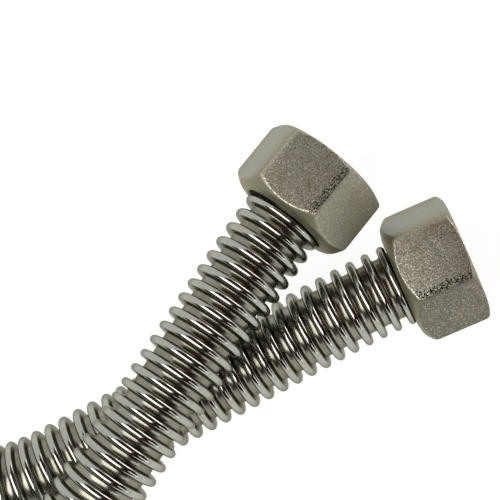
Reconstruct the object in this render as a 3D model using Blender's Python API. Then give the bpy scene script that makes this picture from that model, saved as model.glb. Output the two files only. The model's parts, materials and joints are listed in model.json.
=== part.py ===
"""Corrugated stainless steel hose with a hexagon union nut on each end.

The hose lies on the floor in one loop and its two ends cross. End B lies below, its nut on a flat.
End A passes over it, and its nut stands clear of the floor, because the corrugated wall keeps its bend.
Each nut turns freely on the hose: a split ring in the last groove stops it from coming off, and a
flat gasket lies against the flattened end of the hose inside it.

Lengths are in metres and +Z is up. Blender builds this file as it stands.
"""

import math

import bmesh
import bpy
import numpy as np
from mathutils import Matrix, Vector

# Hose
HOSE_DIAMETER = 0.0216
CORRUGATION_PITCH = 0.0042
CORRUGATION_DEPTH = 0.0026
CREST_TOP = 0.0013
CREST_FLANK = 0.00045
HOSE_WALL = 0.0003
FLANGE_THICKNESS = 0.0012
FLANGE_OVER_CREST = 0.0003
HOSE_SIDES = 12
BORE_TURN = math.radians(8)
BORE_RUN = 0.04

# Split ring and gasket
RING_THICKNESS = 0.0016
RING_BEARING = 0.00105
RING_OPENING = 0.003
RING_STEPS = 22
GASKET_THICKNESS = 0.002
GASKET_OVER_BORE = 0.0002
GASKET_SIDES = 24

# Union nut
NUT_HEIGHT = 0.0185
NUT_WALL = 0.0017
NUT_BACK_WALL = 0.0043
NUT_CORNER_ROUND = 0.0009
NUT_CORNER_STEPS = 2
NUT_CORNER_PROFILE = 0.5
BACK_RIM = 0.0004
BACK_FACE = 0.00245
BACK_FACE_SLOPE = math.radians(12)
BACK_CONE_ANGLE = math.radians(38)
MOUTH_CONE_ANGLE = math.radians(20)
MOUTH_FACE = 0.00134
MOUTH_CHAMFER = 0.0012
HOLE_EDGE = 0.0004
THREAD_DEPTH = 0.00124
RELIEF_LENGTH = 0.0032
BLANK_SIDES = 48
HOLLOW_SIDES = 32

# Clearances
HOLE_CLEARANCE = 0.00035
RELIEF_CLEARANCE = 0.0011
SEAT_GAP = 0.0003
GASKET_CLEARANCE = 0.00036
CROSSING_CLEARANCE = 0.0021
FLOOR_CLEARANCE = 0.00005

# Worked out from the sizes above
HOSE_RADIUS = HOSE_DIAMETER / 2
VALLEY_RADIUS = HOSE_RADIUS - CORRUGATION_DEPTH
BORE_RADIUS = VALLEY_RADIUS - HOSE_WALL
FLANGE_RADIUS = HOSE_RADIUS + FLANGE_OVER_CREST
CREST_BASE = CREST_TOP + 2 * CREST_FLANK
GROOVE_LENGTH = RING_THICKNESS + 2 * SEAT_GAP
FIRST_CREST = FLANGE_THICKNESS + GROOVE_LENGTH + CREST_BASE / 2
HOLE_RADIUS = HOSE_RADIUS + HOLE_CLEARANCE
RING_INNER_RADIUS = VALLEY_RADIUS + SEAT_GAP
RING_OUTER_RADIUS = HOLE_RADIUS + RING_BEARING
RELIEF_RADIUS = RING_OUTER_RADIUS + RELIEF_CLEARANCE
THREAD_RADIUS = RELIEF_RADIUS - THREAD_DEPTH
NUT_FLAT_RADIUS = RELIEF_RADIUS + NUT_WALL
NUT_CORNER_RADIUS = NUT_FLAT_RADIUS / math.cos(math.pi / 6)
RING_SEAT = NUT_BACK_WALL + SEAT_GAP
FLANGE_FACE = NUT_BACK_WALL + GROOVE_LENGTH + FLANGE_THICKNESS
GASKET_SEAT = FLANGE_FACE + SEAT_GAP

# Route of the hose, from end B round the loop to end A, as control points of a smooth curve. X runs
# along leg B and the legs cross near the origin. The first two values count in route units. The third
# is a share of a height: on leg B of the drop from the nut's level to the floor, and beyond it of the
# climb over leg B. The last 30 mm before each nut bend a few degrees to the right of the leg, seen from
# the crossing.
ROUTE_UNIT = 0.001
LYING_LEVEL = HOSE_RADIUS + FLOOR_CLEARANCE
CLIMB = HOSE_DIAMETER + CROSSING_CLEARANCE
LEG_B = (
    (91, -2.3, 1.0),
    (79, -1.0, 1.0),
    (67, -0.3, 1.0),
    (55, -0.05, 1.0),
    (38, 0, 0.6),
    (20, 0, 0.25),
    (0, 0, 0.04),
    (-24, 0, 0.0),
    (-46, 0, 0.0),
)
LOOP_AND_LEG_A = (
    (-74.0, 17.0, 0.0),
    (-103.0, 16.0, 0.0),
    (-124.0, -1.0, 0.0),
    (-131.0, -25.0, 0.0),
    (-124.0, -47.1, 0.03),
    (-103.8, -62.7, 0.15),
    (-78.6, -65.7, 0.34),
    (-53.3, -52.9, 0.59),
    (-35.5, -22.7, 0.84),
    (-18.5, -14.3, 0.973),
    (1.0, -4.1, 1.0),
    (20.18, 6.72, 0.955),
    (38.37, 17.26, 0.874),
    (49.25, 23.19, 0.823),
    (59.99, 28.54, 0.772),
    (71.09, 33.27, 0.721),
)
CURVE_STEPS = 60


class Route:
    """The hose's centre line: a uniform cubic B-spline with a frame that turns as little as it can."""

    def __init__(self):
        self.points = self.curve_points()
        steps = np.diff(self.points, axis=0)
        lengths = np.linalg.norm(steps, axis=1)
        self.stations = np.concatenate([[0.0], np.cumsum(lengths)])
        self.length = self.stations[-1]
        tangents = np.gradient(self.points, self.stations, axis=0)
        self.tangents = tangents / np.linalg.norm(tangents, axis=1)[:, None]
        self.uprights = self.transported_uprights()

    def curve_points(self):
        drop = NUT_FLAT_RADIUS - LYING_LEVEL
        leg_b = np.array(LEG_B) * (ROUTE_UNIT, ROUTE_UNIT, drop)
        rest = np.array(LOOP_AND_LEG_A) * (ROUTE_UNIT, ROUTE_UNIT, CLIMB)
        control = np.concatenate([leg_b, rest]) + (0, 0, LYING_LEVEL)
        t = np.linspace(0, 1, CURVE_STEPS, endpoint=False)[:, None]
        blends = ((1 - t) ** 3, 3 * t**3 - 6 * t**2 + 4, -3 * t**3 + 3 * t**2 + 3 * t + 1, t**3)
        spans = [
            sum(blend * control[first + i] for i, blend in enumerate(blends)) / 6
            for first in range(len(control) - 3)
        ]
        end = (control[-3] + 4 * control[-2] + control[-1]) / 6
        return np.concatenate(spans + [end[None]])

    def transported_uprights(self):
        """Carries the upward direction along the curve without twist."""
        upright = np.array((0.0, 0.0, 1.0))
        uprights = []
        for tangent in self.tangents:
            upright = upright - tangent * upright.dot(tangent)
            upright = upright / np.linalg.norm(upright)
            uprights.append(upright)
        return np.array(uprights)

    def read(self, table, station):
        return Vector([np.interp(station, self.stations, column) for column in table.T])

    def frame(self, station):
        """Centre, side and upright direction at a distance from end B."""
        tangent = self.read(self.tangents, station).normalized()
        upright = self.read(self.uprights, station)
        side = upright.cross(tangent).normalized()
        return self.read(self.points, station), side, tangent.cross(side)

    def turning(self):
        """Angle that the curve has turned through at each station."""
        cosines = np.clip((self.tangents[1:] * self.tangents[:-1]).sum(axis=1), -1, 1)
        return np.concatenate([[0.0], np.cumsum(np.arccos(cosines))])


def linear(value):
    """One sRGB channel from 0 to 255 as linear light."""
    value = value / 255
    return value / 12.92 if value <= 0.04045 else ((value + 0.055) / 1.055) ** 2.4


def make_material(name, hex_colour, roughness, metallic):
    material = bpy.data.materials.new(name)
    material.use_nodes = True
    shader = material.node_tree.nodes["Principled BSDF"]
    channels = [linear(int(hex_colour[i : i + 2], 16)) for i in (0, 2, 4)]
    shader.inputs["Base Color"].default_value = (*channels, 1)
    shader.inputs["Roughness"].default_value = roughness
    shader.inputs["Metallic"].default_value = metallic
    return material


def turn(outline, sides, angle=math.tau):
    """Turns a closed outline of (distance along X, radius) about the X axis."""
    form = bmesh.new()
    corners = [form.verts.new((x, 0, radius)) for x, radius in outline]
    start = form.faces.new(corners)
    whole = math.isclose(angle, math.tau)
    geometry = [*start.verts, *start.edges] if whole else [*start.verts, *start.edges, start]
    if whole:
        bmesh.ops.delete(form, geom=[start], context="FACES_ONLY")
    bmesh.ops.spin(
        form, geom=geometry, cent=(0, 0, 0), axis=(1, 0, 0), angle=angle, steps=sides, use_merge=whole
    )
    bmesh.ops.remove_doubles(form, verts=form.verts, dist=1e-7)
    bmesh.ops.recalc_face_normals(form, faces=form.faces)
    return form


def finish_mesh(form, name, sharp_angle=math.radians(35)):
    mesh = bpy.data.meshes.new(name)
    form.to_mesh(mesh)
    form.free()
    mesh.shade_smooth()
    mesh.set_sharp_from_angle(angle=sharp_angle)
    return mesh


def add_object(name, mesh, material, parent):
    if not mesh.materials:
        mesh.materials.append(material)
    obj = bpy.data.objects.new(name, mesh)
    bpy.context.scene.collection.objects.link(obj)
    obj.parent = parent
    return obj


def hose_outline(route):
    """Section of the hose laid out straight: corrugations outside, plain bore inside.

    The last corrugation at each end is pressed flat into a flange, behind which the split ring sits.
    """
    end = route.length
    last_crest = end - FIRST_CREST
    gaps = round((last_crest - FIRST_CREST) / CORRUGATION_PITCH)
    groove_end = FLANGE_THICKNESS
    outside = [(0, FLANGE_RADIUS), (groove_end, FLANGE_RADIUS), (groove_end, VALLEY_RADIUS)]
    for centre in np.linspace(FIRST_CREST, last_crest, gaps + 1):
        outside += [
            (centre - CREST_BASE / 2, VALLEY_RADIUS),
            (centre - CREST_TOP / 2, HOSE_RADIUS),
            (centre + CREST_TOP / 2, HOSE_RADIUS),
            (centre + CREST_BASE / 2, VALLEY_RADIUS),
        ]
    outside += [(end - groove_end, VALLEY_RADIUS), (end - groove_end, FLANGE_RADIUS), (end, FLANGE_RADIUS)]
    inside = [(station, BORE_RADIUS) for station in bore_stations(route)]
    return outside + inside[::-1]


def bore_stations(route):
    """Stations of the bore's rings: one each time the curve has turned by BORE_TURN or run BORE_RUN."""
    chosen = [0.0]
    turned_at_last = 0.0
    for station, turned in zip(route.stations, route.turning()):
        if turned - turned_at_last >= BORE_TURN or station - chosen[-1] >= BORE_RUN:
            chosen.append(station)
            turned_at_last = turned
    if route.length - chosen[-1] < CORRUGATION_PITCH:
        chosen.pop()
    return chosen + [route.length]


def make_hose(route, material, parent):
    form = turn(hose_outline(route), HOSE_SIDES)
    for vertex in form.verts:
        station, across, up = vertex.co
        centre, side, upright = route.frame(station)
        vertex.co = centre + side * across + upright * up
    bmesh.ops.recalc_face_normals(form, faces=form.faces)
    return add_object("corrugated_tube", finish_mesh(form, "corrugated_tube"), material, parent)


def make_cutter(name, form, operation, target):
    cutter = add_object(name, finish_mesh(form, name), None, None)
    cutter.hide_render = True
    cutter.display_type = "WIRE"
    cut = target.modifiers.new(name, "BOOLEAN")
    cut.operation = operation
    cut.object = cutter
    return cutter


def nut_prism():
    """Hexagonal bar along X with rounded corner edges and a flat at +Z and -Z."""
    form = bmesh.new()
    along_x = Matrix.Rotation(math.pi / 2, 4, "Y")
    bmesh.ops.create_cone(
        form,
        cap_ends=True,
        segments=6,
        radius1=NUT_CORNER_RADIUS,
        radius2=NUT_CORNER_RADIUS,
        depth=NUT_HEIGHT,
        matrix=Matrix.Translation((NUT_HEIGHT / 2, 0, 0)) @ along_x,
    )
    corners = [e for e in form.edges if abs(e.verts[0].co.x - e.verts[1].co.x) > NUT_HEIGHT / 2]
    bmesh.ops.bevel(
        form,
        geom=corners,
        offset=NUT_CORNER_ROUND,
        offset_type="OFFSET",
        segments=NUT_CORNER_STEPS,
        profile=NUT_CORNER_PROFILE,
        affect="EDGES",
    )
    return form


def nut_blank():
    """Turned body that leaves the slight slope and the cone at the back and the chamfer round the mouth."""
    outside = NUT_CORNER_RADIUS + NUT_WALL
    back_start = HOLE_RADIUS + HOLE_EDGE + BACK_RIM
    cone_start = back_start + BACK_FACE
    face_depth = BACK_FACE * math.tan(BACK_FACE_SLOPE)
    back_depth = face_depth + (outside - cone_start) * math.tan(BACK_CONE_ANGLE)
    mouth_start = THREAD_RADIUS + MOUTH_CHAMFER + MOUTH_FACE
    mouth_depth = (outside - mouth_start) * math.tan(MOUTH_CONE_ANGLE)
    return [
        (0, 0),
        (0, back_start),
        (face_depth, cone_start),
        (back_depth, outside),
        (NUT_HEIGHT - mouth_depth, outside),
        (NUT_HEIGHT, mouth_start),
        (NUT_HEIGHT, 0),
    ]


def nut_hollow():
    """Hole for the hose, shoulder, relief and socket at the thread's inner diameter."""
    beyond = NUT_WALL
    relief_end = NUT_BACK_WALL + RELIEF_LENGTH
    return [
        (-beyond, 0),
        (-beyond, HOLE_RADIUS + HOLE_EDGE + beyond),
        (HOLE_EDGE, HOLE_RADIUS),
        (NUT_BACK_WALL, HOLE_RADIUS),
        (NUT_BACK_WALL, RELIEF_RADIUS),
        (relief_end, RELIEF_RADIUS),
        (relief_end + THREAD_DEPTH, THREAD_RADIUS),
        (NUT_HEIGHT - MOUTH_CHAMFER, THREAD_RADIUS),
        (NUT_HEIGHT + beyond, THREAD_RADIUS + MOUTH_CHAMFER + beyond),
        (NUT_HEIGHT + beyond, 0),
    ]


def make_nut_mesh(material):
    """Union nut along X, its back plane at the origin and its mouth towards +X."""
    bar = add_object("nut_bar", finish_mesh(nut_prism(), "nut_bar"), material, None)
    cutters = [
        make_cutter("nut_blank", turn(nut_blank(), BLANK_SIDES), "INTERSECT", bar),
        make_cutter("nut_hollow", turn(nut_hollow(), HOLLOW_SIDES), "DIFFERENCE", bar),
    ]
    ready = bar.evaluated_get(bpy.context.evaluated_depsgraph_get())
    mesh = bpy.data.meshes.new_from_object(ready)
    mesh.name = "union_nut"
    mesh.shade_smooth()
    mesh.set_sharp_from_angle(angle=math.radians(25))
    for helper in [bar, *cutters]:
        bpy.data.objects.remove(helper)
    return mesh


def ring_outline():
    return [
        (0, RING_INNER_RADIUS),
        (0, RING_OUTER_RADIUS),
        (RING_THICKNESS, RING_OUTER_RADIUS),
        (RING_THICKNESS, RING_INNER_RADIUS),
    ]


def gasket_outline():
    return [
        (0, BORE_RADIUS + GASKET_OVER_BORE),
        (0, THREAD_RADIUS - GASKET_CLEARANCE),
        (GASKET_THICKNESS, THREAD_RADIUS - GASKET_CLEARANCE),
        (GASKET_THICKNESS, BORE_RADIUS + GASKET_OVER_BORE),
    ]


def end_frame(route, at_end_a):
    """Frame of an end: origin at the nut's back plane, X out of the mouth, Z as near upright as it can."""
    station = route.length if at_end_a else 0.0
    tangent = route.read(route.tangents, station).normalized()
    outward = tangent if at_end_a else -tangent
    across = Vector((0, 0, 1)).cross(outward).normalized()
    frame = Matrix((outward, across, outward.cross(across))).transposed().to_4x4()
    frame.translation = route.read(route.points, station) - outward * FLANGE_FACE
    return frame


def place(obj, frame, along=0.0):
    """Sets a piece on its end's axis, some way along it."""
    spot = frame @ Matrix.Translation((along, 0, 0))
    obj.location = spot.to_translation()
    obj.rotation_euler = spot.to_euler()


def make_end(route, letter, meshes, materials, stand):
    """Nut, split ring and gasket of one end."""
    frame = end_frame(route, letter == "a")
    nut = add_object(f"union_nut_{letter}", meshes["nut"], materials["nut"], stand)
    place(nut, frame)
    ring = add_object(f"retaining_ring_{letter}", meshes["ring"], materials["ring"], stand)
    place(ring, frame, along=RING_SEAT)
    gasket = add_object(f"gasket_{letter}", meshes["gasket"], materials["gasket"], stand)
    place(gasket, frame, along=GASKET_SEAT)


def centre_on_floor(stand):
    """Moves the whole hose so that the origin is the middle of its box, on the floor."""
    bpy.context.view_layer.update()
    graph = bpy.context.evaluated_depsgraph_get()
    corners = []
    for child in stand.children:
        ready = child.evaluated_get(graph)
        corners += [child.matrix_world @ vertex.co for vertex in ready.data.vertices]
    points = np.array(corners)
    low, high = points.min(axis=0), points.max(axis=0)
    stand.location = (-(low[0] + high[0]) / 2, -(low[1] + high[1]) / 2, -low[2])


def main():
    for old in list(bpy.data.objects):
        bpy.data.objects.remove(old)
    materials = {
        "hose": make_material("stainless_steel", "C9C8C3", 0.22, 1.0),
        "nut": make_material("nickel_plated_brass", "B4B2AC", 0.42, 1.0),
        "ring": make_material("spring_steel", "8E8C87", 0.35, 1.0),
        "gasket": make_material("fibre_gasket", "3A3B3D", 0.8, 0.0),
    }
    meshes = {
        "nut": make_nut_mesh(materials["nut"]),
        "ring": finish_mesh(
            turn(ring_outline(), RING_STEPS, math.tau - RING_OPENING / RING_INNER_RADIUS), "retaining_ring"
        ),
        "gasket": finish_mesh(turn(gasket_outline(), GASKET_SIDES), "gasket"),
    }
    stand = bpy.data.objects.new("floor_origin", None)
    bpy.context.scene.collection.objects.link(stand)
    route = Route()
    make_hose(route, materials["hose"], stand)
    for letter in ("b", "a"):
        make_end(route, letter, meshes, materials, stand)
    centre_on_floor(stand)


main()
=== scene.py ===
"""Corrugated stainless steel hose with a union nut on each end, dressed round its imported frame.

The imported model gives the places: the joints' points and axes are the ends of the hose, and the
route of the hose runs between them. Every new surface is a grid worked out with numpy: an outline
carried round an axis or along the route. Lengths are in metres and +Z is up.
"""

import json
import logging
import math
from dataclasses import dataclass, field
from enum import Enum

import bpy
import numpy as np
from mathutils import Matrix, Vector


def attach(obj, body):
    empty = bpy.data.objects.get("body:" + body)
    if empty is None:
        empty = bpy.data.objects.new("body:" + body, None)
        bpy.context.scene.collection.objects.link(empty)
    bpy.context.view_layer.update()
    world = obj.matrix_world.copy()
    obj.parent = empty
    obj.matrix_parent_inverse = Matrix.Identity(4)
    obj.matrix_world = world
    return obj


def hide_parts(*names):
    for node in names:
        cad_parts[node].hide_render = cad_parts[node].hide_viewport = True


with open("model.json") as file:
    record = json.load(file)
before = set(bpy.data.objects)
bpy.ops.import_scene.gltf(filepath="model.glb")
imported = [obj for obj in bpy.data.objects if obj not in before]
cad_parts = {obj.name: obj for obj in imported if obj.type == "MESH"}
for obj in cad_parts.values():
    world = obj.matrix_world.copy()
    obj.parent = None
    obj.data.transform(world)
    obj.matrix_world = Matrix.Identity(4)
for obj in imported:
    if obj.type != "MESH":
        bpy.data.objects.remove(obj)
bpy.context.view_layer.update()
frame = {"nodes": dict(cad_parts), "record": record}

LOG = logging.getLogger("corrugated_hose")
MM = 0.001
ControlPoints = tuple[tuple[float, float, float], ...]


class End(Enum):
    """The two ends of the hose: A passes over B where they cross."""

    A = "a"
    B = "b"


# Painted shade: how much darker the plate is painted on each flat of a nut, from the upper one round
NUT_SHADES = {
    End.A: (0.0, 0.0, 0.2, 0.1, 0.2, 0.05),
    End.B: (0.15, 0.85, 0.2, 0.1, 0.2, 0.0),
}

# Middle direction of the two legs where they leave their crossing, in degrees from +X
LEGS_AZIMUTH = 14.0


# Small helpers


def linear_colour(hex_colour: str) -> tuple[float, float, float, float]:
    """Turns an sRGB colour into linear light.

    Args:
        hex_colour: Six hexadecimal digits.

    Returns:
        Red, green, blue and an alpha of 1, as shader sockets take them.
    """
    channels = np.array([int(hex_colour[i : i + 2], 16) for i in (0, 2, 4)]) / 255
    light = np.where(channels <= 0.04045, channels / 12.92, ((channels + 0.055) / 1.055) ** 2.4)
    return (*light.tolist(), 1.0)


def add_node(
    tree: bpy.types.NodeTree, kind: str, inputs: dict | None = None, **settings: object
) -> bpy.types.Node:
    """Adds a shader node with its settings and links.

    Args:
        tree: Node tree that takes the node.
        kind: Blender's name of the node type.
        inputs: Socket name or number to a constant, or to the output socket that feeds it.
        settings: Properties of the node.

    Returns:
        The new node.
    """
    node = tree.nodes.new(kind)
    for name, value in settings.items():
        setattr(node, name, value)
    for socket, value in (inputs or {}).items():
        if isinstance(value, bpy.types.NodeSocket):
            tree.links.new(value, node.inputs[socket])
        else:
            node.inputs[socket].default_value = value
    return node


def new_material(name: str) -> tuple[bpy.types.Material, bpy.types.NodeTree, bpy.types.Node]:
    """Makes a material.

    Args:
        name: Name of the material.

    Returns:
        The material, its node tree and its Principled shader.
    """
    material = bpy.data.materials.new(name)
    material.use_nodes = True
    return material, material.node_tree, material.node_tree.nodes["Principled BSDF"]


def seen_as_background(tree: bpy.types.NodeTree) -> bpy.types.NodeSocket:
    """Finds the rays that show the background: from the camera, off metal and through glass.

    Args:
        tree: Node tree of the floor or the surround.

    Returns:
        Output that is 1 for such a ray and 0 for all others.
    """
    path = add_node(tree, "ShaderNodeLightPath")
    seen = path.outputs["Is Camera Ray"]
    for kind in ("Is Glossy Ray", "Is Transmission Ray"):
        seen = add_node(
            tree, "ShaderNodeMath", {0: seen, 1: path.outputs[kind]}, operation="MAXIMUM"
        ).outputs["Value"]
    return seen


def smoothstep(low: float, high: float, value: np.ndarray) -> np.ndarray:
    """Eases from 0 at low to 1 at high."""
    t = np.clip((value - low) / (high - low), 0, 1)
    return t * t * (3 - 2 * t)


def closed_grid(
    name: str, points: np.ndarray, values: dict[str, np.ndarray] | None = None
) -> bpy.types.Object:
    """Makes a smooth closed surface from a grid of points that closes on itself both ways.

    Face (i, j) joins points (i, j), (i, j+1), (i+1, j+1) and (i+1, j), with both numbers wrapped
    round. The winding is turned over if the signed volume comes out negative.

    Args:
        name: Name of the object and its mesh.
        points: Array of shape (rows, columns, 3).
        values: Name of a point attribute to an array of shape (rows, columns).

    Returns:
        The object, linked to the scene, at the origin.
    """
    rows, columns, _ = points.shape
    index = np.arange(rows * columns).reshape(rows, columns)
    down = np.roll(index, -1, axis=0)
    quads = np.stack([index, np.roll(index, -1, axis=1), np.roll(down, -1, axis=1), down], axis=-1)
    quads = quads.reshape(-1, 4)
    flat = points.reshape(-1, 3)
    a, b, c, d = (flat[quads[:, i]] for i in range(4))
    volume = (a * np.cross(b, c) + a * np.cross(c, d)).sum() / 6
    if volume < 0:
        quads = quads[:, ::-1]
    mesh = bpy.data.meshes.new(name)
    mesh.from_pydata(flat, [], quads)
    mesh.shade_smooth()
    for label, value in (values or {}).items():
        layer = mesh.attributes.new(label, "FLOAT", "POINT")
        layer.data.foreach_set("value", np.ascontiguousarray(value, np.float32).reshape(-1))
    mesh.update()
    obj = bpy.data.objects.new(name, mesh)
    bpy.context.scene.collection.objects.link(obj)
    return obj


def dress(obj: bpy.types.Object, material: bpy.types.Material) -> None:
    """Gives every slot of an object one material."""
    obj.data.materials.clear()
    obj.data.materials.append(material)


def rounded(
    stations: np.ndarray, levels: np.ndarray, reach: np.ndarray | float, steps: int = 5, most: float = 0.45
) -> tuple[np.ndarray, np.ndarray]:
    """Outline through corner points, with each inner corner rounded.

    A round corner is a quadratic Bezier curve from a point at the given reach before the corner to
    one at the same reach after it, with the corner as its middle control point.

    Args:
        stations: Distances along the axis, shape (corners, columns).
        levels: Radii, of the same shape.
        reach: Distance from the corner at which the rounding starts, one value or one for each column.
        steps: Points on each round corner.
        most: Largest share of the way to the next corner that the rounding takes.

    Returns:
        Stations and radii of the outline, shape (points, columns).
    """
    spots = np.stack([stations, levels], axis=-1)
    reach = np.broadcast_to(reach, stations.shape[1:])[..., None]
    rows = [spots[0]]
    for before, here, after in zip(spots[:-2], spots[1:-1], spots[2:]):
        back, ahead = before - here, after - here
        back_length = np.linalg.norm(back, axis=-1, keepdims=True)
        ahead_length = np.linalg.norm(ahead, axis=-1, keepdims=True)
        start = here + back / back_length * np.minimum(reach, most * back_length)
        end = here + ahead / ahead_length * np.minimum(reach, most * ahead_length)
        for t in np.linspace(0, 1, steps):
            rows.append((1 - t) ** 2 * start + 2 * t * (1 - t) * here + t**2 * end)
    rows.append(spots[-1])
    outline = np.array(rows)
    return outline[..., 0], outline[..., 1]


# Places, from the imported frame


@dataclass(frozen=True)
class EndPlace:
    """Axis of one end of the hose: origin at the nut's back plane, X out of the nut's mouth."""

    end: End

    @property
    def joint(self) -> dict:
        """The record's joint that turns this end's nut."""
        joints = frame["record"]["behaviour"]["joints"]
        return next(joint for joint in joints if joint["name"] == f"nut_{self.end.value}_spin")

    @property
    def origin(self) -> np.ndarray:
        """Point of the axis in the nut's back plane."""
        return np.array(self.joint["pos_m"])

    @property
    def axes(self) -> np.ndarray:
        """Directions of the end.

        Returns:
            Rows: out of the mouth, across, and as near upright as a square corner allows.
        """
        outward = np.array(self.joint["axis"], float)
        outward /= np.linalg.norm(outward)
        across = np.cross((0, 0, 1), outward)
        across /= np.linalg.norm(across)
        return np.array([outward, across, np.cross(outward, across)])

    def turned(self, stations: np.ndarray, radii: np.ndarray, angles: np.ndarray) -> np.ndarray:
        """Carries an outline round the axis.

        The point at station x, radius r and angle a is origin + x outward + r (cos a upright -
        sin a across), which is Z turned about X by the right-hand rule.

        Args:
            stations: Distances from the back plane, any shape that broadcasts.
            radii: Distances from the axis.
            angles: Angles from upright.

        Returns:
            Points, with a last dimension of 3.
        """
        stations, radii, angles = np.broadcast_arrays(stations, radii, angles)
        outward, across, upright = self.axes
        return (
            self.origin
            + stations[..., None] * outward
            + (radii * np.cos(angles))[..., None] * upright
            - (radii * np.sin(angles))[..., None] * across
        )


@dataclass
class HoseRoute:
    """Centre line of the hose, a uniform cubic B-spline through given control points.

    The first two values of a control point count in route units. The third is a share of a height:
    on leg B of the drop from the nut's level to the floor, beyond it of the climb over leg B.
    """

    hose_radius: float = 10.8 * MM
    floor_clearance: float = 0.05 * MM
    climb: float = 23.7 * MM
    unit: float = 1.0 * MM
    flange_face: float = 7.7 * MM
    steps: int = 60
    path_points: int = 120
    leg_b: ControlPoints = (
        (91, -2.3, 1.0),
        (79, -1.0, 1.0),
        (67, -0.3, 1.0),
        (55, -0.05, 1.0),
        (38, 0, 0.6),
        (20, 0, 0.25),
        (0, 0, 0.04),
        (-24, 0, 0.0),
        (-46, 0, 0.0),
    )
    loop_and_leg_a: ControlPoints = (
        (-74.0, 17.0, 0.0),
        (-103.0, 16.0, 0.0),
        (-124.0, -1.0, 0.0),
        (-131.0, -25.0, 0.0),
        (-124.0, -47.1, 0.03),
        (-103.8, -62.7, 0.15),
        (-78.6, -65.7, 0.34),
        (-53.3, -52.9, 0.59),
        (-35.5, -22.7, 0.84),
        (-18.5, -14.3, 0.973),
        (1.0, -4.1, 1.0),
        (20.18, 6.72, 0.955),
        (38.37, 17.26, 0.874),
        (49.25, 23.19, 0.823),
        (59.99, 28.54, 0.772),
        (71.09, 33.27, 0.721),
    )
    points: np.ndarray = field(init=False)
    stations: np.ndarray = field(init=False)
    tangents: np.ndarray = field(init=False)

    def __post_init__(self) -> None:
        """Works out the curve, its running length and its directions, and sets it on end B."""
        curve = self.curve()
        place = EndPlace(End.B)
        curve += place.origin + place.axes[0] * self.flange_face - curve[0]
        self.points = curve
        self.stations = np.concatenate([[0], np.cumsum(np.linalg.norm(np.diff(curve, axis=0), axis=1))])
        tangents = np.gradient(curve, self.stations, axis=0)
        self.tangents = tangents / np.linalg.norm(tangents, axis=1, keepdims=True)

    @property
    def length(self) -> float:
        """Length of the hose between its two flanges."""
        return float(self.stations[-1])

    def curve(self) -> np.ndarray:
        """Blends each four neighbouring control points with the cubic B-spline weights.

        With t from 0 to 1 the weights are (1-t)^3, 3t^3-6t^2+4, -3t^3+3t^2+3t+1 and t^3, all over 6.

        Returns:
            Points along the curve, shape (points, 3).
        """
        low = self.hose_radius + self.floor_clearance
        drop = EndPlace(End.B).origin[2] - low
        leg_b = np.array(self.leg_b) * (self.unit, self.unit, drop)
        rest = np.array(self.loop_and_leg_a) * (self.unit, self.unit, self.climb)
        control = np.concatenate([leg_b, rest]) + (0, 0, low)
        t = np.linspace(0, 1, self.steps, endpoint=False)
        inner = (3 * t**3 - 6 * t**2 + 4, -3 * t**3 + 3 * t**2 + 3 * t + 1)
        weights = np.stack([(1 - t) ** 3, *inner, t**3]) / 6
        windows = np.lib.stride_tricks.sliding_window_view(control, 4, axis=0)
        spans = np.einsum("wt,sxw->stx", weights, windows).reshape(-1, 3)
        last = (control[-3] + 4 * control[-2] + control[-1]) / 6
        return np.concatenate([spans, last[None]])

    def read(self, table: np.ndarray, stations: np.ndarray) -> np.ndarray:
        """Reads a table of the curve at distances from end B."""
        return np.stack([np.interp(stations, self.stations, column) for column in table.T], axis=-1)

    def path(self) -> np.ndarray:
        """Evenly spaced points of the route, from end B to end A."""
        return self.read(self.points, np.linspace(0, self.length, self.path_points))

    def swept(self, stations: np.ndarray, radii: np.ndarray, angles: np.ndarray) -> np.ndarray:
        """Carries an outline along the route.

        The point at station s, radius r and angle a is centre(s) + r (cos a upright(s) + sin a
        side(s)), with side(s) level and upright(s) square to it and to the curve.

        Args:
            stations: Distances along the route, shape (rows,).
            radii: Distances from the route, shape (rows,).
            angles: Angles from upright, shape (columns,).

        Returns:
            Points, shape (rows, columns, 3).
        """
        tangent = self.read(self.tangents, stations)
        side = np.cross((0, 0, 1), tangent)
        side /= np.linalg.norm(side, axis=1, keepdims=True)
        upright = np.cross(tangent, side)
        cosine, sine = (turn(angles)[None, :, None] for turn in (np.cos, np.sin))
        ring = cosine * upright[:, None] + sine * side[:, None]
        return self.read(self.points, stations)[:, None] + radii[:, None, None] * ring


# Finishes


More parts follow.
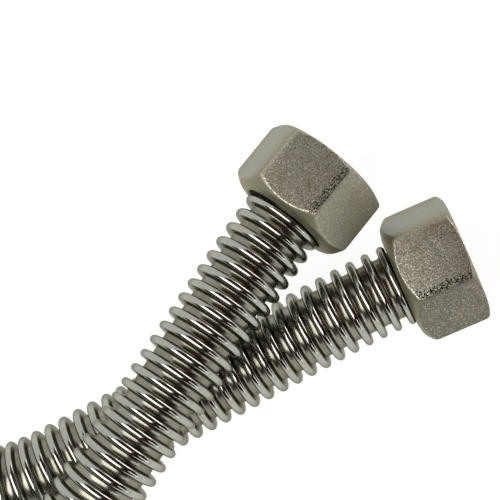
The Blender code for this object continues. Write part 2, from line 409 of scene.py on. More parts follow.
@dataclass(frozen=True)
class BrightStainless:
    """Stainless steel strip 1.4301, bright annealed, drawn to a tube and rolled into rings.

    It gives the eye sharp streaks along the hose, one bit on each ring, over a warm grey. Rolling
    leaves faint lines round each ring, and the valleys are painted darker and olive-brown in patches,
    painted shade in the recesses between the rings.
    """

    metal: str = "A5A49C"
    # Painted shade: the darker olive-brown mixed into the valleys between the rings
    valley_shade: str = "6A6653"
    grazing: str = "B0AEA6"
    roughness: float = 0.13
    valley_roughness: float = 0.25
    valley_shade_top: float = 0.75
    valley_shade_strength: float = 1.3
    rolling_line: float = 0.22 * MM
    line_depth: float = 0.02 * MM
    line_strength: float = 0.04
    shade_patch_size: float = 9 * MM

    def build(self) -> bpy.types.Material:
        """Makes the material from the crest and station attributes and object coordinates.

        Returns:
            The material.
        """
        material, tree, shader = new_material("bright_annealed_stainless_steel")
        place = add_node(tree, "ShaderNodeTexCoord").outputs["Object"]
        crest, station = (
            add_node(tree, "ShaderNodeAttribute", attribute_name=name).outputs["Fac"]
            for name in ("crest", "station")
        )
        # Patches of stronger and weaker painted shade
        shade_patches = add_node(
            tree, "ShaderNodeTexNoise", {"Vector": place, "Scale": 1 / self.shade_patch_size, "Detail": 4.0}
        ).outputs["Fac"]
        # Painted shade, strongest in the valleys and gone three quarters of the way up a ring
        valley_shade = add_node(
            tree, "ShaderNodeMapRange",
            {
                "Value": crest,
                "From Min": self.valley_shade_top,
                "From Max": 0.0,
                "To Min": 0.0,
                "To Max": self.valley_shade_strength,
            },
        ).outputs["Result"]
        patchy_valley_shade = add_node(
            tree, "ShaderNodeMath", {0: valley_shade, 1: shade_patches}, operation="MULTIPLY"
        ).outputs["Value"]
        colour = add_node(
            tree, "ShaderNodeMix",
            {"Factor": patchy_valley_shade, 6: linear_colour(self.metal), 7: linear_colour(self.valley_shade)},
            data_type="RGBA",
        ).outputs[2]
        tree.links.new(colour, shader.inputs["Base Color"])
        rough = add_node(
            tree, "ShaderNodeMapRange",
            {"Value": crest, "To Min": self.valley_roughness, "To Max": self.roughness},
        ).outputs["Result"]
        tree.links.new(rough, shader.inputs["Roughness"])
        lines = add_node(
            tree, "ShaderNodeTexNoise", {"W": station, "Scale": 1 / self.rolling_line, "Detail": 1.0},
            noise_dimensions="1D",
        ).outputs["Fac"]
        bump = add_node(
            tree, "ShaderNodeBump",
            {"Height": lines, "Strength": self.line_strength, "Distance": self.line_depth},
        ).outputs["Normal"]
        tree.links.new(bump, shader.inputs["Normal"])
        shader.inputs["Metallic"].default_value = 1.0
        shader.inputs["Specular Tint"].default_value = linear_colour(self.grazing)
        return material


@dataclass(frozen=True)
class Specks:
    """Small marks that begin where a noise passes one value and are full at another.

    Where their share is less, the start moves on in the same direction by up to the thinning, so
    that fewer marks show.
    """

    start: float
    full: float
    thinning: float

    def spread(
        self, tree: bpy.types.NodeTree, noise: bpy.types.NodeSocket, share: bpy.types.NodeSocket
    ) -> bpy.types.NodeSocket:
        """Finds where the marks lie, as (noise - moved start) / (full - start) times the share.

        Args:
            tree: Node tree of the material.
            noise: Noise that the marks follow.
            share: Attribute that says how strong the marks are.

        Returns:
            Factor of the marks' colour.
        """
        thinning = math.copysign(self.thinning, self.full - self.start)
        missing = add_node(
            tree, "ShaderNodeMath", {0: 1.0, 1: share}, operation="SUBTRACT"
        ).outputs["Value"]
        moved = add_node(
            tree, "ShaderNodeMath", {0: missing, 1: thinning, 2: self.start}, operation="MULTIPLY_ADD"
        ).outputs["Value"]
        above = add_node(
            tree, "ShaderNodeMath", {0: noise, 1: moved}, operation="SUBTRACT"
        ).outputs["Value"]
        found = add_node(
            tree, "ShaderNodeMath", {0: above, 1: self.full - self.start}, operation="DIVIDE",
            use_clamp=True,
        ).outputs["Value"]
        return add_node(
            tree, "ShaderNodeMath", {0: found, 1: share}, operation="MULTIPLY"
        ).outputs["Value"]


@dataclass(frozen=True)
class GrainedNickel:
    """Brass, hot pressed, tumbled and plated with matt nickel.

    It gives the eye a warm grey with a coarse grain of dark specks and near-white painted glints on
    the pressed flats, painted shade as a darker plate on chosen flats, a plain cooler grey where a flat
    was rubbed smooth, an olive sheen on the turned cones, and a rough brown line where a corner is
    worn, scratched with specks of the painted glint colour. The real grain is about 0.1 mm wide, too
    fine to show, so it is drawn three to five times as coarse.
    """

    plate: str = "A39E8F"
    smooth: str = "949690"
    turned: str = "8A866F"
    # Painted shade: the darker plate laid over chosen flats
    painted_shade_colour: str = "625E54"
    bloom: str = "907F6E"
    pit: str = "2A241C"
    # Painted glints: near-white specks on the grain and on the worn corners' scratches
    glint: str = "FFFCEE"
    worn: str = "150C07"
    grazing: str = "F2F0EA"
    roughness: float = 0.47
    turned_roughness: float = 0.52
    glint_roughness: float = 0.3
    grain: float = 0.46 * MM
    fine_grain: float = 0.26 * MM
    fine_share: float = 0.6
    noise_roughness: float = 0.6
    bloom_size: float = 5 * MM
    bloom_range: tuple[float, float] = (0.52, 0.8)
    plate_reach: float = 2.0
    relief_depth: float = 0.14 * MM
    relief_strength: float = 0.8
    pits: Specks = Specks(start=0.47, full=0.34, thinning=0.02)
    glints: Specks = Specks(start=0.54, full=0.64, thinning=0.02)
    scratches: Specks = Specks(start=0.56, full=0.64, thinning=0.12)
    rubbing: Specks = Specks(start=0.53, full=0.47, thinning=0.12)

    def build(self) -> bpy.types.Material:
        """Makes the material from the nut's attributes and object coordinates.

        Returns:
            The material.
        """
        material, tree, shader = new_material("matt_nickel_plated_brass")
        place = add_node(tree, "ShaderNodeTexCoord").outputs["Object"]
        grain, smooth, shade, worn = (
            add_node(tree, "ShaderNodeAttribute", attribute_name=name).outputs["Fac"]
            for name in ("grain", "smooth", "shade", "worn")
        )
        coarse, fine, broad = (
            add_node(
                tree, "ShaderNodeTexNoise",
                {"Vector": place, "Scale": 1 / size, "Detail": detail, "Roughness": self.noise_roughness},
            ).outputs["Fac"]
            for size, detail in ((self.grain, 2.0), (self.fine_grain, 1.0), (self.bloom_size, 2.0))
        )
        noise = add_node(
            tree, "ShaderNodeMix", {"Factor": self.fine_share, "A": coarse, "B": fine}
        ).outputs["Result"]
        pressed = add_node(
            tree, "ShaderNodeMath", {0: grain, 1: self.plate_reach}, operation="MULTIPLY", use_clamp=True
        ).outputs["Value"]
        patches = add_node(
            tree, "ShaderNodeMapRange",
            {"Value": broad, "From Min": self.bloom_range[0], "From Max": self.bloom_range[1]},
        ).outputs["Result"]
        blooming = add_node(
            tree, "ShaderNodeMath", {0: patches, 1: grain}, operation="MULTIPLY"
        ).outputs["Value"]
        # Painted glints: near-white specks with a smoother finish
        glinting = self.glints.spread(tree, noise, grain)
        layers = (
            (smooth, self.smooth),
            (pressed, self.plate),
            # Painted shade over chosen flats
            (shade, self.painted_shade_colour),
            (blooming, self.bloom),
            (self.pits.spread(tree, noise, grain), self.pit),
            # Painted glints on the grain
            (glinting, self.glint),
            # Scratches on the worn corners, in the painted glint colour
            (self.scratches.spread(tree, noise, worn), self.glint),
            (self.rubbing.spread(tree, noise, worn), self.worn),
        )
        colour = linear_colour(self.turned)
        for factor, over in layers:
            colour = add_node(
                tree, "ShaderNodeMix", {"Factor": factor, 6: colour, 7: linear_colour(over)},
                data_type="RGBA",
            ).outputs[2]
        tree.links.new(colour, shader.inputs["Base Color"])
        rough = self.turned_roughness
        for factor, over in ((grain, self.roughness), (glinting, self.glint_roughness)):
            rough = add_node(
                tree, "ShaderNodeMix", {"Factor": factor, "A": rough, "B": over}
            ).outputs["Result"]
        tree.links.new(rough, shader.inputs["Roughness"])
        relief = add_node(
            tree, "ShaderNodeMath", {0: noise, 1: grain}, operation="MULTIPLY"
        ).outputs["Value"]
        bump = add_node(
            tree, "ShaderNodeBump",
            {"Height": relief, "Strength": self.relief_strength, "Distance": self.relief_depth},
        ).outputs["Normal"]
        tree.links.new(bump, shader.inputs["Normal"])
        shader.inputs["Metallic"].default_value = 1.0
        shader.inputs["Specular Tint"].default_value = linear_colour(self.grazing)
        return material


@dataclass(frozen=True)
class DrawnSpringSteel:
    """Spring steel strip, drawn and bent into a split ring: a dull, slightly lined grey."""

    metal: str = "8E8C87"
    roughness: float = 0.38
    roughness_spread: float = 0.08
    draw_line: float = 0.3 * MM

    def build(self) -> bpy.types.Material:
        """Makes the material from object coordinates.

        Returns:
            The material.
        """
        material, tree, shader = new_material("drawn_spring_steel")
        place = add_node(tree, "ShaderNodeTexCoord").outputs["Object"]
        lines = add_node(
            tree, "ShaderNodeTexNoise", {"Vector": place, "Scale": 1 / self.draw_line, "Detail": 2.0}
        ).outputs["Fac"]
        rough = add_node(
            tree, "ShaderNodeMapRange",
            {
                "Value": lines,
                "To Min": self.roughness - self.roughness_spread,
                "To Max": self.roughness + self.roughness_spread,
            },
        ).outputs["Result"]
        tree.links.new(rough, shader.inputs["Roughness"])
        shader.inputs["Base Color"].default_value = linear_colour(self.metal)
        shader.inputs["Metallic"].default_value = 1.0
        return material


@dataclass(frozen=True)
class PressedFibre:
    """Gasket sheet pressed from fibre and rubber: matt near-black with paler fibres in it."""

    sheet: str = "35373A"
    fibre: str = "5B5E61"
    roughness: float = 0.82
    fibre_width: float = 0.25 * MM
    fibre_curl: float = 1.5
    fibre_range: tuple[float, float] = (0.5, 0.72)
    relief_depth: float = 0.05 * MM
    relief_strength: float = 0.4

    def build(self) -> bpy.types.Material:
        """Makes the material from object coordinates.

        Returns:
            The material.
        """
        material, tree, shader = new_material("pressed_fibre_gasket")
        place = add_node(tree, "ShaderNodeTexCoord").outputs["Object"]
        fibres = add_node(
            tree, "ShaderNodeTexNoise",
            {
                "Vector": place,
                "Scale": 1 / self.fibre_width,
                "Detail": 3.0,
                "Distortion": self.fibre_curl,
            },
        ).outputs["Fac"]
        picked = add_node(
            tree, "ShaderNodeMapRange",
            {"Value": fibres, "From Min": self.fibre_range[0], "From Max": self.fibre_range[1]},
        ).outputs["Result"]
        colour = add_node(
            tree, "ShaderNodeMix",
            {"Factor": picked, 6: linear_colour(self.sheet), 7: linear_colour(self.fibre)},
            data_type="RGBA",
        ).outputs[2]
        tree.links.new(colour, shader.inputs["Base Color"])
        bump = add_node(
            tree, "ShaderNodeBump",
            {"Height": fibres, "Strength": self.relief_strength, "Distance": self.relief_depth},
        ).outputs["Normal"]
        tree.links.new(bump, shader.inputs["Normal"])
        shader.inputs["Roughness"].default_value = self.roughness
        return material


# Pieces


@dataclass
class CorrugatedTube:
    """Thin-walled tube rolled into rings, with its last ring at each end pressed into a flange."""

    route: HoseRoute
    valley_radius: float = 8.2 * MM
    pitch: float = 4.2 * MM
    bead_width: float = 2.2 * MM
    root_round: float = 0.45 * MM
    wall: float = 0.3 * MM
    flange_radius: float = 11.1 * MM
    flange_thickness: float = 1.2 * MM
    flange_edge: float = 0.3 * MM
    flange_rim: float = 0.9 * MM
    groove_length: float = 2.2 * MM
    root_points: int = 3
    crest_points: int = 5
    sides: int = 48

    @property
    def crest_radius(self) -> float:
        """Radius of the rings, which is the hose's."""
        return self.route.hose_radius

    def bead(self) -> tuple[np.ndarray, np.ndarray]:
        """Outline of one ring: root fillet, straight flank, half-round crest, and the same mirrored.

        Returns:
            Offsets from the ring's middle and radii, from one root to the other.
        """
        half = self.bead_width / 2
        root = np.linspace(0, math.pi / 2, self.root_points)
        root_x = -half - self.root_round * (1 - np.sin(root))
        root_r = self.valley_radius + self.root_round * (1 - np.cos(root))
        crest = np.linspace(math.pi / 2, 0, self.crest_points)
        crest_x = -half * np.sin(crest)
        crest_r = self.crest_radius - half * (1 - np.cos(crest))
        x = np.concatenate([root_x, crest_x])
        r = np.concatenate([root_r, crest_r])
        return np.concatenate([x, -x[-2::-1]]), np.concatenate([r, r[-2::-1]])

    def crest_stations(self) -> np.ndarray:
        """Middles of the rings, evenly spaced between the grooves of the two split rings.

        Returns:
            Distances from the flange at end B.
        """
        first = self.flange_thickness + self.groove_length + self.bead_width / 2
        last = self.route.length - first
        return np.linspace(first, last, round((last - first) / self.pitch) + 1)

    def outside(self) -> tuple[np.ndarray, np.ndarray]:
        """Outline of the outer side, from the flange at end B to the flange at end A.

        Returns:
            Stations and radii.
        """
        offsets, radii = self.bead()
        stations = (self.crest_stations()[:, None] + offsets).reshape(-1)
        radii = np.tile(radii, len(self.crest_stations()))
        edge, thick = self.flange_edge, self.flange_thickness
        flange = [
            (0, self.flange_radius - self.flange_rim),
            (0, self.flange_radius - edge),
            (edge, self.flange_radius),
            (thick - edge, self.flange_radius),
            (thick, self.flange_radius - edge),
            (thick, self.valley_radius),
        ]
        flange_x, flange_r = np.array(flange).T
        stations = np.concatenate([flange_x, stations, self.route.length - flange_x[::-1]])
        return stations, np.concatenate([flange_r, radii, flange_r[::-1]])

    def inside(self) -> tuple[np.ndarray, np.ndarray]:
        """Outline of the bore, from end B to end A, with a plain groove within each ring.

        Returns:
            Stations and radii.
        """
        offsets = np.array([-self.bead_width / 2, 0, self.bead_width / 2])
        low, high = self.valley_radius - self.wall, self.crest_radius - self.wall
        stations = (self.crest_stations()[:, None] + offsets).reshape(-1)
        radii = np.tile([low, high, low], len(self.crest_stations()))
        stations = np.concatenate([[0], stations, [self.route.length]])
        return stations, np.concatenate([[low], radii, [low]])

    def build(self) -> bpy.types.Object:
        """Sweeps the closed outline, out along the outer side and back along the bore.

        Returns:
            The tube, with its height in a ring and its station as attributes.
        """
        out_s, out_r = self.outside()
        in_s, in_r = self.inside()
        stations = np.concatenate([out_s, in_s[::-1]])
        radii = np.concatenate([out_r, in_r[::-1]])
        angles = np.linspace(0, math.tau, self.sides, endpoint=False)
        points = self.route.swept(stations, radii, angles)
        height = np.clip((radii - self.valley_radius) / (self.crest_radius - self.valley_radius), 0, 1)
        spread = np.ones(self.sides)
        values = {"crest": height[:, None] * spread, "station": stations[:, None] * spread}
        return closed_grid("rolled_tube", points, values)

    def dress(self, obj: bpy.types.Object, material: bpy.types.Material) -> None:
        """Gives the tube its finish and its place in the frame.

        Args:
            obj: The tube.
            material: Its finish.
        """
        dress(obj, material)
        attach(obj, "hose")
        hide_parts("corrugated_tube")


@dataclass
class UnionNut:
    """Hexagon nut that turns on the hose: a wide cone at its back, a chamfer round its mouth."""

    place: EndPlace
    # Painted shade for each flat, taken from NUT_SHADES
    flat_shade: tuple[float, ...]
    height: float = 18.5 * MM
    flat_radius: float = 15 * MM
    corner_rounds: tuple[float, ...] = (0.6 * MM, 0.9 * MM, 0.9 * MM, 0.9 * MM, 0.9 * MM, 2.0 * MM)
    hole_radius: float = 11.15 * MM
    hole_edge: float = 0.4 * MM
    back_face: float = 2.85 * MM
    back_face_slope: float = math.radians(12)
    back_cone: float = math.radians(38)
    mouth_cone: float = math.radians(20)
    mouth_face: float = 1.34 * MM
    mouth_chamfer: float = 1.2 * MM
    rim_round: float = 0.3 * MM
    corner_rim_round: float = 1.1 * MM
    back_wall: float = 4.3 * MM
    relief_radius: float = 13.3 * MM
    relief_length: float = 3.2 * MM
    thread_radius: float = 12.06 * MM
    thread_depth: float = 1.16 * MM
    thread_pitch: float = 1.814 * MM
    thread_steps: int = 12
    sector_steps: int = 28
    flat_grain: tuple[float, ...] = (1.0, 0.45, 0.45, 0.8, 0.6, 0.12)
    corner_wear: tuple[float, ...] = (1.0, 0.2, 0.3, 0.2, 0.3, 0.0)
    flat_border: tuple[float, float] = (0.1 * MM, 0.5 * MM)
    wear_border: tuple[float, float] = (1.2 * MM, 2.6 * MM)
    smooth_width: float = 5.5 * MM
    rubbed_width: float = 1.3 * MM
    rubbed_grain: float = 0.3
    sharp_angle: float = math.radians(40)

    def angles(self) -> np.ndarray:
        """Angles from the first flat's middle, closer together towards the corners.

        Within a sector of 60 degrees the angle is 30 sin(w 90) degrees for w from -1 to 1.

        Returns:
            Angles of the grid's columns.
        """
        w = np.linspace(-1, 1, self.sector_steps, endpoint=False)
        sector = math.pi / 6 * np.sin(w * math.pi / 2)
        return (np.arange(6)[:, None] * math.pi / 3 + sector).reshape(-1)

    def hexagon(self, angles: np.ndarray) -> np.ndarray:
        """Distance of the bar's outline from the axis.

        On a flat it is flat_radius / cos(a), with a the angle from the flat's middle. At a corner it
        is the far side of a circle of that corner's own radius that touches both flats.

        Args:
            angles: Angles from the first flat's middle.

        Returns:
            Radii at those angles.
        """
        off = np.abs((angles + math.pi / 6) % (math.pi / 3) - math.pi / 6)
        corner_round = np.array(self.corner_rounds)[np.floor((angles / (math.pi / 3)) % 6).astype(int)]
        inner = self.flat_radius - corner_round
        touch = np.arctan2(inner * math.tan(math.pi / 6), self.flat_radius)
        centre = inner / math.cos(math.pi / 6)
        from_corner = math.pi / 6 - off
        arc = np.sqrt(np.maximum(corner_round**2 - (centre * np.sin(from_corner)) ** 2, 0))
        return np.where(off < touch, self.flat_radius / np.cos(off), centre * np.cos(from_corner) + arc)

    def outside(self, angles: np.ndarray) -> tuple[np.ndarray, np.ndarray]:
        """Outline from the hole over the back face, its cone, the flat and the chamfer to the mouth.

        The cones cut the bar where their radius reaches the bar's, so the rims curve between the
        corners.

        Args:
            angles: Angles of the grid's columns.

        Returns:
            Stations and radii, shape (points, columns).
        """
        bar = self.hexagon(angles)
        start = self.hole_radius + self.hole_edge
        face_end = start + self.back_face
        face_rise = self.back_face * math.tan(self.back_face_slope)
        mouth = self.thread_radius + self.mouth_chamfer + self.mouth_face
        still = np.ones_like(angles)
        back_rim = face_rise + (bar - face_end) * math.tan(self.back_cone)
        mouth_rim = self.height - (bar - mouth) * math.tan(self.mouth_cone)
        corners = [
            (0 * still, start * still),
            (face_rise * still, face_end * still),
            (back_rim, bar),
            (mouth_rim, bar),
            (self.height * still, mouth * still),
            (self.height * still, (mouth - self.mouth_face) * still),
        ]
        stations, radii = np.array(corners).transpose(1, 0, 2)
        cornered = smoothstep(0, 1, (bar - self.flat_radius) / (bar.max() - self.flat_radius))
        reach = self.rim_round + (self.corner_rim_round - self.rim_round) * cornered
        return rounded(stations, radii, reach)

    def thread(self, angles: np.ndarray) -> tuple[np.ndarray, np.ndarray]:
        """Inner thread from the mouth inwards, a G 3/4 pipe thread.

        The radius is the inner one plus depth (1 - cos p) / 2, with the phase p growing by one
        turn for each pitch along the axis and each turn round it. It eases out at both ends.

        Args:
            angles: Angles of the grid's columns.

        Returns:
            Stations and radii, shape (points, columns).
        """
        start = self.height - self.mouth_chamfer
        end = self.back_wall + self.relief_length
        count = int((start - end) / self.thread_pitch * self.thread_steps)
        x = np.linspace(start, end, count)[:, None] + 0 * angles
        phase = x / self.thread_pitch * math.tau - angles
        ease = smoothstep(end, end + self.thread_pitch, x) * smoothstep(start, start - self.thread_pitch, x)
        return x, self.thread_radius + self.thread_depth * ease * (1 - np.cos(phase)) / 2

    def inside(self, angles: np.ndarray) -> tuple[np.ndarray, np.ndarray]:
        """Outline from the mouth's chamfer over the thread, relief and shoulder out of the hole.

        Args:
            angles: Angles of the grid's columns.

        Returns:
            Stations and radii, shape (points, columns).
        """
        still = np.ones_like(angles)
        relief_end = self.back_wall + self.relief_length
        thread_x, thread_r = self.thread(angles)
        tail = [
            (relief_end, self.relief_radius),
            (self.back_wall, self.relief_radius),
            (self.back_wall, self.hole_radius),
            (self.hole_edge, self.hole_radius),
        ]
        tail_x, tail_r = (np.array([[spot[i]] for spot in tail]) * still for i in (0, 1))
        return np.concatenate([thread_x, tail_x]), np.concatenate([thread_r, tail_r])

    def masks(self, r: np.ndarray, angles: np.ndarray) -> dict[str, np.ndarray]:
        """Works out where the grain, the smooth flats, the painted shade and the worn corners lie.

        Each flat has its own share of grain, which thins out towards one ridge, and what was turned
        has none. Wear lies along the other ridge. Smoothness grows from the ridges to the middle of a
        flat.

        Args:
            r: Radii of the grid's points.
            angles: Angles of the grid's columns.

        Returns:
            Name of each point attribute to its values.
        """
        flat_full, flat_gone = self.flat_border
        wear_full, wear_gone = self.wear_border
        on_flat = smoothstep(flat_gone, flat_full, np.abs(self.hexagon(angles) - r))
        sector = np.floor((angles / (math.pi / 3) + 0.5) % 6).astype(int)
        corner = np.floor((angles / (math.pi / 3)) % 6).astype(int)
        off = (angles + math.pi / 6) % (math.pi / 3) - math.pi / 6
        inset = (math.pi / 6 - np.abs(off)) * self.flat_radius
        left = self.rubbed_grain + (1 - self.rubbed_grain) * smoothstep(0.0, self.rubbed_width, inset)
        share = np.array(self.flat_grain)[sector] * np.where(corner == sector, 1.0, left)
        worn = np.array(self.corner_wear)[corner] * smoothstep(wear_gone, wear_full, inset)
        worn = worn * (corner == sector)
        return {
            "grain": on_flat * share,
            "smooth": on_flat * smoothstep(0.0, self.smooth_width, inset),
            # Painted shade: the share of the darker plate on each flat
            "shade": on_flat * np.array(self.flat_shade)[sector],
            "worn": on_flat * worn,
        }

    def build(self) -> bpy.types.Object:
        """Carries the closed outline round the axis.

        Returns:
            The nut, with its masks as attributes and its edges sharp where they turn far.
        """
        angles = self.angles()
        out_x, out_r = self.outside(angles)
        in_x, in_r = self.inside(angles)
        x, r = np.concatenate([out_x, in_x]), np.concatenate([out_r, in_r])
        points = self.place.turned(x, r, angles)
        name = f"pressed_nut_{self.place.end.value}"
        obj = closed_grid(name, points, self.masks(r, angles))
        obj.data.set_sharp_from_angle(angle=self.sharp_angle)
        return obj

    def dress(self, obj: bpy.types.Object, material: bpy.types.Material) -> None:
        """Gives the nut its finish and its place in the frame.

        Args:
            obj: The nut.
            material: Its finish.
        """
        dress(obj, material)
        letter = self.place.end.value
        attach(obj, f"nut_{letter}")
        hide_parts(f"union_nut_{letter}")


@dataclass
class Gasket:
    """Flat ring of gasket sheet against the hose's flange, with slightly rounded edges."""

    place: EndPlace
    seat: float = 8.0 * MM
    thickness: float = 2.0 * MM
    inner_radius: float = 8.1 * MM
    outer_radius: float = 11.7 * MM
    edge_round: float = 0.25 * MM
    sides: int = 96

    def build(self) -> bpy.types.Object:
        """Carries a rectangle with rounded corners round the axis.

        Returns:
            The gasket.
        """
        near, far = self.seat, self.seat + self.thickness
        middle = (self.inner_radius + self.outer_radius) / 2
        corners = [
            (near, middle),
            (near, self.outer_radius),
            (far, self.outer_radius),
            (far, self.inner_radius),
            (near, self.inner_radius),
            (near, middle),
        ]
        x, r = np.array(corners).T[..., None] * np.ones(self.sides)
        x, r = rounded(x, r, self.edge_round)
        angles = np.linspace(0, math.tau, self.sides, endpoint=False)
        name = f"sealing_washer_{self.place.end.value}"
        return closed_grid(name, self.place.turned(x[:-1], r[:-1], angles))

    def dress(self, obj: bpy.types.Object, material: bpy.types.Material) -> None:
        """Gives the gasket its finish and its place in the frame.

        Args:
            obj: The gasket.
            material: Its finish.
        """
        dress(obj, material)
        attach(obj, "hose")
        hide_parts(f"gasket_{self.place.end.value}")


# Studio


@dataclass
class StudioFloor:
    """Plain paper floor that takes the hose's shadow and shows white as a background."""

    size: float = 6.0
    below: float = 0.1 * MM
    colour: str = "9B9B99"
    glow: float = 0.87

    def build(self) -> None:
        """Makes the floor, with white light added where the background is seen."""
        mesh = bpy.data.meshes.new("studio_floor")
        half = self.size / 2
        square = ((-half, -half), (half, -half), (half, half), (-half, half))
        mesh.from_pydata([(x, y, -self.below) for x, y in square], [], [(0, 1, 2, 3)])
        floor = bpy.data.objects.new("studio_floor", mesh)
        bpy.context.scene.collection.objects.link(floor)
        material, tree, shader = new_material("white_paper")
        shader.inputs["Base Color"].default_value = linear_colour(self.colour)
        shader.inputs["Roughness"].default_value = 0.9
        shader.inputs["Specular IOR Level"].default_value = 0.0
        glow = add_node(
            tree, "ShaderNodeMath", {0: seen_as_background(tree), 1: self.glow}, operation="MULTIPLY"
        ).outputs["Value"]
        tree.links.new(glow, shader.inputs["Emission Strength"])
        shader.inputs["Emission Color"].default_value = (1, 1, 1, 1)
        material.cycles.emission_sampling = "NONE"
        mesh.materials.append(material)


@dataclass(frozen=True)
class StudioPlace:
    """Place of a flat rectangle over the nuts, by its direction and by how wide it is seen from there.

    All angles are in degrees. Sideways ones lean from upright to the lower right of the photograph,
    lengthways ones from there towards the nuts.
    """

    sideways: float
    lengthways: float
    half_sideways: float
    half_lengthways: float
    distance: float = 0.6
    target: tuple[float, float, float] = (0.07, 0.035, 0.02)

    @property
    def matrix(self) -> Matrix:
        """Places a rectangle so that it faces the target, its X sideways and its Y lengthways.

        Returns:
            Matrix of the rectangle's middle.
        """
        turn = (
            Matrix.Rotation(math.radians(LEGS_AZIMUTH - 90), 4, "Z")
            @ Matrix.Rotation(math.radians(self.sideways), 4, "Y")
            @ Matrix.Rotation(-math.radians(self.lengthways), 4, "X")
        )
        return Matrix.Translation(self.target) @ turn @ Matrix.Translation((0, 0, self.distance))

    @property
    def size(self) -> tuple[float, float]:
        """Sides of the rectangle."""
        return tuple(
            2 * self.distance * math.tan(math.radians(half))
            for half in (self.half_sideways, self.half_lengthways)
        )


@dataclass(frozen=True)
class SoftBox:
    """Rectangular studio lamp of even brightness."""

    name: str
    place: StudioPlace
    brightness: float

    def build(self) -> None:
        """Adds the lamp, with the power that gives its face this radiance."""
        lamp = bpy.data.lights.new(self.name, "AREA")
        lamp.shape = "RECTANGLE"
        lamp.size, lamp.size_y = self.place.size
        lamp.energy = self.brightness * math.pi * lamp.size * lamp.size_y
        obj = bpy.data.objects.new(self.name, lamp)
        obj.matrix_world = self.place.matrix
        bpy.context.scene.collection.objects.link(obj)


@dataclass(frozen=True)
class Card:
    """Dark card that only reflections show, for the dark streaks in polished metal."""

    name: str
    place: StudioPlace
    colour: str

    def build(self) -> None:
        """Hangs the card and hides it from the camera, from shadows and from scattered light."""
        half_x, half_y = (side / 2 for side in self.place.size)
        corners = [(-half_x, -half_y), (-half_x, half_y), (half_x, half_y), (half_x, -half_y)]
        mesh = bpy.data.meshes.new(self.name)
        mesh.from_pydata([self.place.matrix @ Vector((x, y, 0)) for x, y in corners], [], [(0, 1, 2, 3)])
        card = bpy.data.objects.new(self.name, mesh)
        bpy.context.scene.collection.objects.link(card)
        material, _, shader = new_material(f"{self.name}_felt")
        shader.inputs["Base Color"].default_value = linear_colour(self.colour)
        shader.inputs["Roughness"].default_value = 1.0
        shader.inputs["Specular IOR Level"].default_value = 0.0
        mesh.materials.append(material)
        card.visible_camera = False
        card.visible_shadow = False
        card.visible_diffuse = False


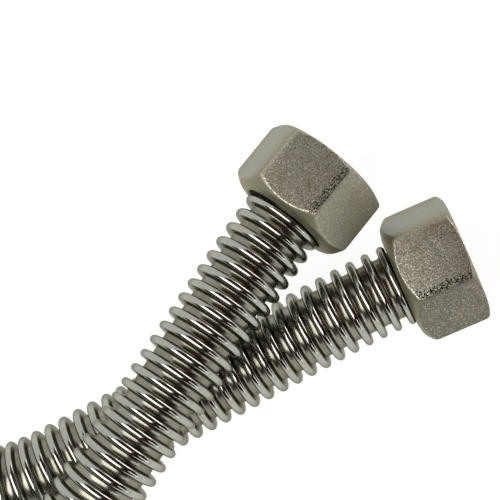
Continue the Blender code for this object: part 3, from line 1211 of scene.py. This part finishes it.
@dataclass(frozen=True)
class Studio:
    """Pale surroundings, lamps, dark cards and the camera."""

    surround: str = "FFFDF6"
    surround_strength: float = 0.35
    focal_pixels: float = 2000.0
    frame_pixels: float = 500.0
    sensor_mm: float = 36.0
    camera_distance: float = 0.51355
    looks_at: tuple[float, float, float] = (0.06576, 0.0382, 0.018)
    leans_sideways: float = 13.0
    leans_lengthways: float = 0.5
    roll: float = math.radians(-27.07)
    clip: tuple[float, float] = (0.01, 20.0)
    lamps: tuple[SoftBox, ...] = (
        SoftBox(
            "key_box",
            StudioPlace(sideways=2, lengthways=-32, half_sideways=28, half_lengthways=18),
            brightness=3.2,
        ),
        SoftBox(
            "low_box",
            StudioPlace(sideways=2, lengthways=76, half_sideways=18, half_lengthways=9, distance=0.8),
            brightness=3.2,
        ),
        SoftBox(
            "side_strip",
            StudioPlace(sideways=64, lengthways=0, half_sideways=16, half_lengthways=7),
            brightness=2.2,
        ),
    )
    cards: tuple[Card, ...] = (
        Card(
            "camera_shade",
            StudioPlace(sideways=0, lengthways=23, half_sideways=32, half_lengthways=36),
            colour="6E4F40",
        ),
        Card(
            "right_wall",
            StudioPlace(sideways=53, lengthways=0, half_sideways=22, half_lengthways=68, distance=0.7),
            colour="4A2214",
        ),
        Card(
            "near_wall",
            StudioPlace(sideways=2, lengthways=-70, half_sideways=30, half_lengthways=18, distance=0.7),
            colour="3A2016",
        ),
    )

    def build_world(self) -> None:
        """Sets an even pale surround, white where it is seen as background."""
        world = bpy.data.worlds.new("studio_surround")
        bpy.context.scene.world = world
        world.use_nodes = True
        tree = world.node_tree
        background = tree.nodes["Background"]
        seen = seen_as_background(tree)
        colour = add_node(
            tree, "ShaderNodeMix", {"Factor": seen, 6: linear_colour(self.surround), 7: (1, 1, 1, 1)},
            data_type="RGBA",
        ).outputs[2]
        strength = add_node(
            tree, "ShaderNodeMix", {"Factor": seen, "A": self.surround_strength, "B": 1.0}
        ).outputs["Result"]
        tree.links.new(colour, background.inputs["Color"])
        tree.links.new(strength, background.inputs["Strength"])
        world.cycles.sampling_method = "NONE"

    def build_camera(self) -> None:
        """Hangs the camera over the crossing legs, leant to the lower right of the photograph."""
        azimuth = math.radians(LEGS_AZIMUTH)
        sideways = Vector((math.sin(azimuth), -math.cos(azimuth), 0))
        lengthways = Vector((math.cos(azimuth), math.sin(azimuth), 0))
        towards = (
            Vector((0, 0, 1))
            + sideways * math.tan(math.radians(self.leans_sideways))
            - lengthways * math.tan(math.radians(self.leans_lengthways))
        ).normalized()
        right = Vector((-math.sin(self.roll), math.cos(self.roll), 0)).cross(towards).normalized()
        data = bpy.data.cameras.new("studio_camera")
        data.sensor_width = self.sensor_mm
        data.lens = self.focal_pixels / self.frame_pixels * self.sensor_mm
        data.clip_start, data.clip_end = self.clip
        camera = bpy.data.objects.new("studio_camera", data)
        camera.matrix_world = Matrix((right, towards.cross(right), towards)).transposed().to_4x4()
        camera.location = Vector(self.looks_at) + towards * self.camera_distance
        bpy.context.scene.collection.objects.link(camera)
        bpy.context.scene.camera = camera

    def build(self) -> None:
        """Builds the whole studio."""
        self.build_world()
        StudioFloor().build()
        self.build_camera()
        for thing in (*self.lamps, *self.cards):
            thing.build()
        bpy.context.scene.view_settings.view_transform = "Standard"


def main() -> None:
    """Builds the studio and every piece of the hose, in order."""
    logging.basicConfig(level=logging.INFO, format="%(name)s: %(message)s")
    Studio().build()
    route = HoseRoute()
    tube_maker = CorrugatedTube(route)
    tube = tube_maker.build()
    tube_maker.dress(tube, BrightStainless().build())
    LOG.info("rolled tube, %.1f mm between flanges, %d faces", route.length / MM, len(tube.data.polygons))
    nickel = GrainedNickel().build()
    fibre = PressedFibre().build()
    spring = DrawnSpringSteel().build()
    on_hose = []
    for end in End:
        place = EndPlace(end)
        nut_maker = UnionNut(place, flat_shade=NUT_SHADES[end])
        nut = nut_maker.build()
        nut_maker.dress(nut, nickel)
        gasket_maker = Gasket(place)
        gasket = gasket_maker.build()
        gasket_maker.dress(gasket, fibre)
        ring = frame["nodes"][f"retaining_ring_{end.value}"]
        dress(ring, spring)
        on_hose += [nut, gasket, ring]
        LOG.info("end %s: nut of %d faces, gasket and split ring", end.value, len(nut.data.polygons))


if __name__ == "__main__":
    main()
